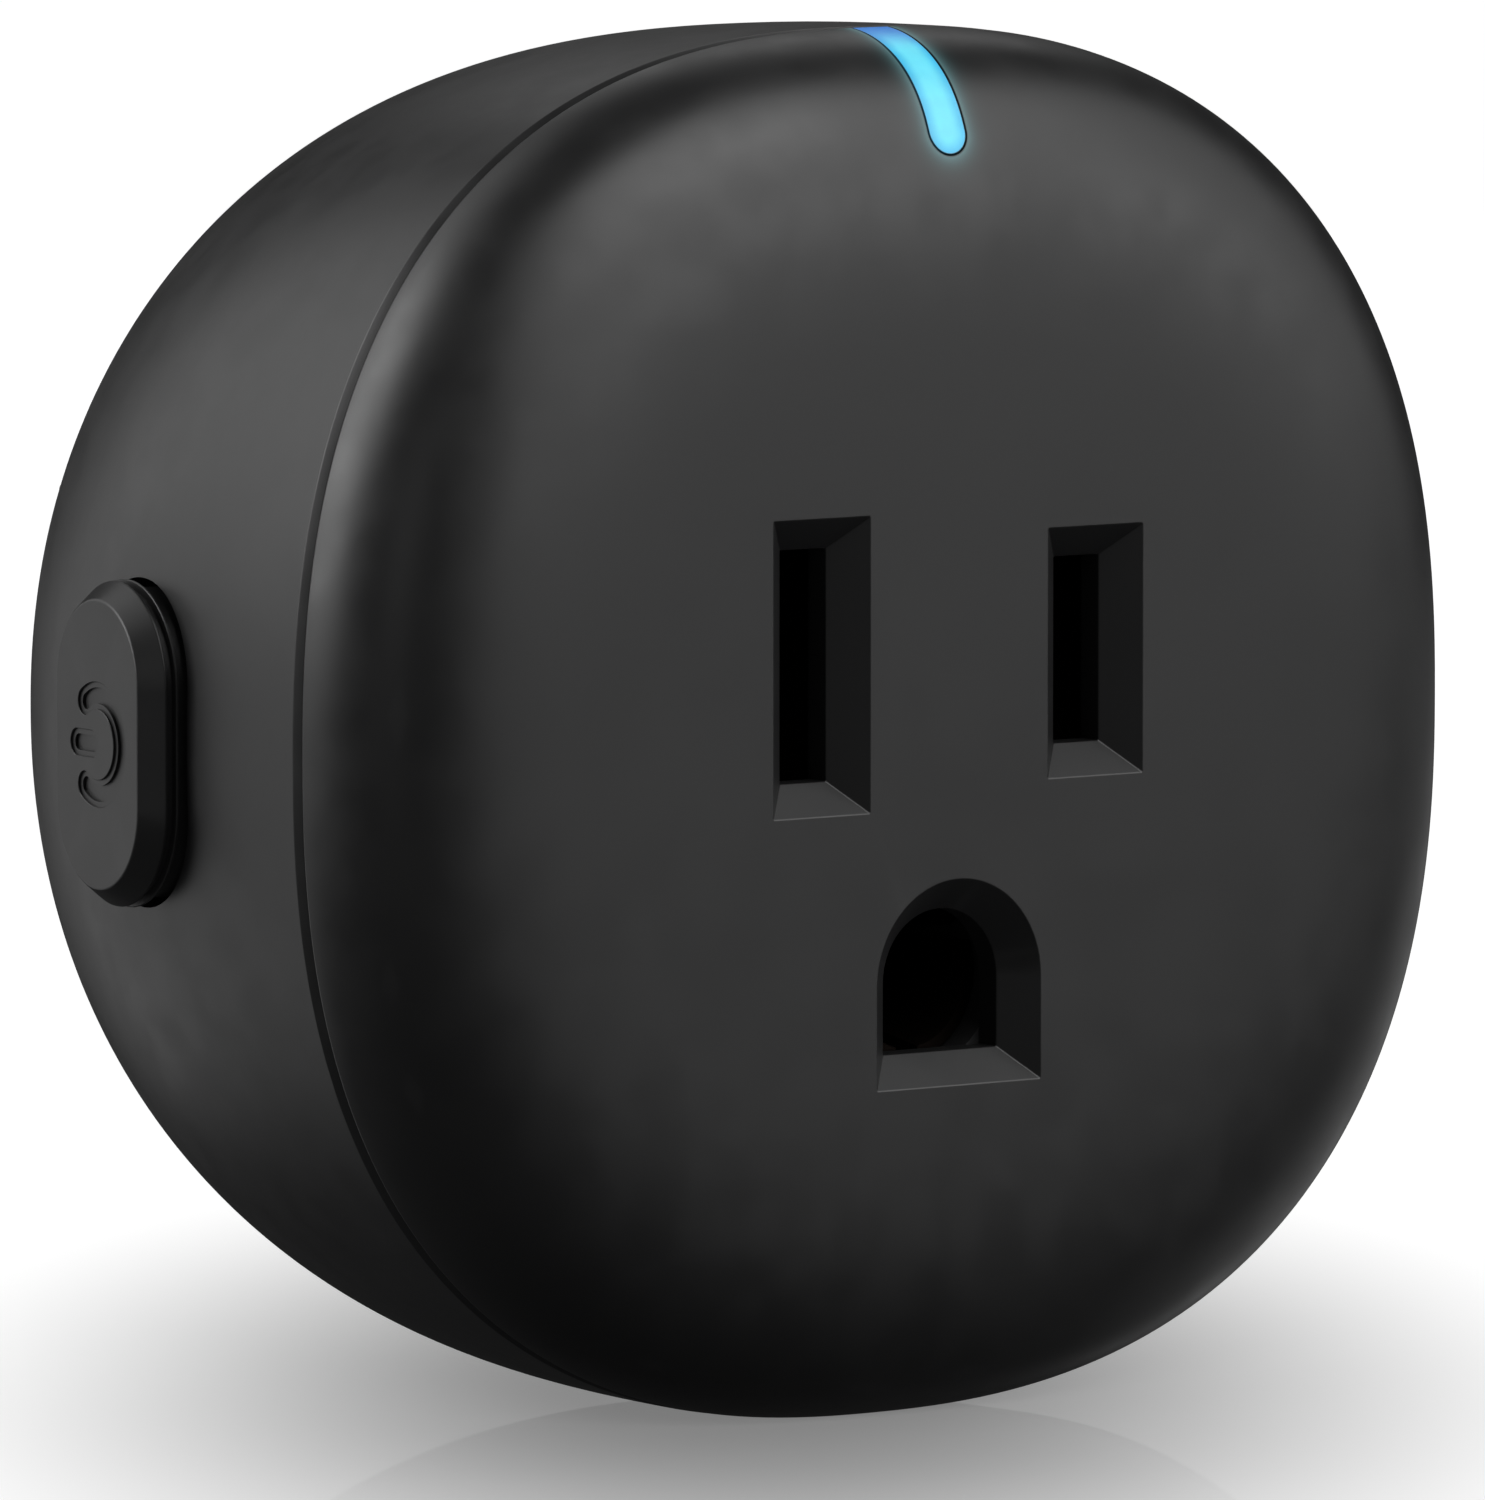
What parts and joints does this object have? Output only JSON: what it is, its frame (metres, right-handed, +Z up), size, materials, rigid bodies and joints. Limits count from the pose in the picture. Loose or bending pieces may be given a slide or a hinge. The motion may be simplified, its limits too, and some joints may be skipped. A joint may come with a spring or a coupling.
{
  "type": "smart plug",
  "caption": "Rounded single-outlet smart plug: three-pin socket in front, prongs behind, side power button and a top light bar.",
  "frame": {"origin": "on the flat wall face at the back, midway between the two flat blades", "axes": "+Z up when plugged in with the ground pin down, +Y out of the back along the prongs into the wall, -Y out of the socket face"},
  "size_m": [0.053, 0.0509, 0.0514],
  "materials": {
    "cover_black": "fine satin moulded texture",
    "housing_black": "fine satin moulded texture",
    "button_black": "fine satin moulded texture",
    "light_cyan": "frosted translucent light guide",
    "led_package": "white LED package",
    "nickel_brass": "nickel plated brass",
    "spring_copper": "copper alloy strip",
    "insulator": "natural nylon",
    "board_green": "solder mask over glass epoxy",
    "module_blue": "black solder mask",
    "tin_can": "tinned steel",
    "header_plastic": "glass-filled nylon",
    "plunger_plastic": "ivory nylon",
    "capacitor_sleeve": "shrunk sleeve",
    "film_yellow": "potted box",
    "varistor_blue": "dipped epoxy",
    "resistor_green": "flameproof lacquer",
    "ferrite": "ground ferrite",
    "enamel_copper": "enamelled copper wire",
    "chip_black": "moulding compound",
    "relay_blue": "moulded relay cover",
    "bobbin_white": "moulded bobbin",
    "soft_iron": "zinc plated soft iron"
  },
  "bodies": {
    "plug_body": {"front_cover": "cover_black", "rear_housing": "housing_black", "light_pipe": "light_cyan", "status_led": "led_package", "neutral_blade": "nickel_brass", "line_blade": "nickel_brass", "ground_pin": "nickel_brass", "neutral_contact": "spring_copper", "line_contact": "spring_copper", "ground_contact": "spring_copper", "relay_fixed_contact": "spring_copper", "blade_retainer": "insulator", "contact_holder": "insulator", "main_board": "board_green", "control_board": "board_green", "wifi_module": "module_blue", "wifi_shield": "tin_can", "board_screws": "tin_can", "header_pins": "tin_can", "relay_pins": "tin_can", "header_block": "header_plastic", "switch_body": "header_plastic", "relay_base": "header_plastic", "reservoir_capacitor": "capacitor_sleeve", "film_capacitor": "film_yellow", "surge_varistor": "varistor_blue", "fuse_resistor": "resistor_green", "choke_core": "ferrite", "choke_winding": "enamel_copper", "relay_coil": "enamel_copper", "bridge_rectifier": "chip_black", "regulator_chip": "chip_black", "relay_cover": "relay_blue", "relay_bobbin": "bobbin_white", "relay_core": "soft_iron", "relay_yoke": "soft_iron"},
    "button": {"power_button": "button_black"},
    "plunger": {"switch_plunger": "plunger_plastic"},
    "armature": {"relay_armature": "soft_iron"}
  },
  "joints": [
    {"name": "button_press", "type": "slide", "parent": "plug_body", "child": "button", "axis": [0.9919, -0.1271, 0], "range_m": [0, 0.0004], "stiffness_N_per_m": 1500},
    {"name": "plunger_press", "type": "slide", "parent": "plug_body", "child": "plunger", "axis": [1, 0, 0], "range_m": [0, 0.0004]},
    {"name": "armature_pull", "type": "hinge", "parent": "plug_body", "child": "armature", "pos_m": [0.0141, -0.0166, 0.00155], "axis": [-1, 0, 0], "range_deg": [0, 3], "stiffness_Nm_per_rad": 0.005}
  ],
  "couplings": [
    {"joint": "plunger_press", "follows": "button_press", "ratio": 1}
  ]
}
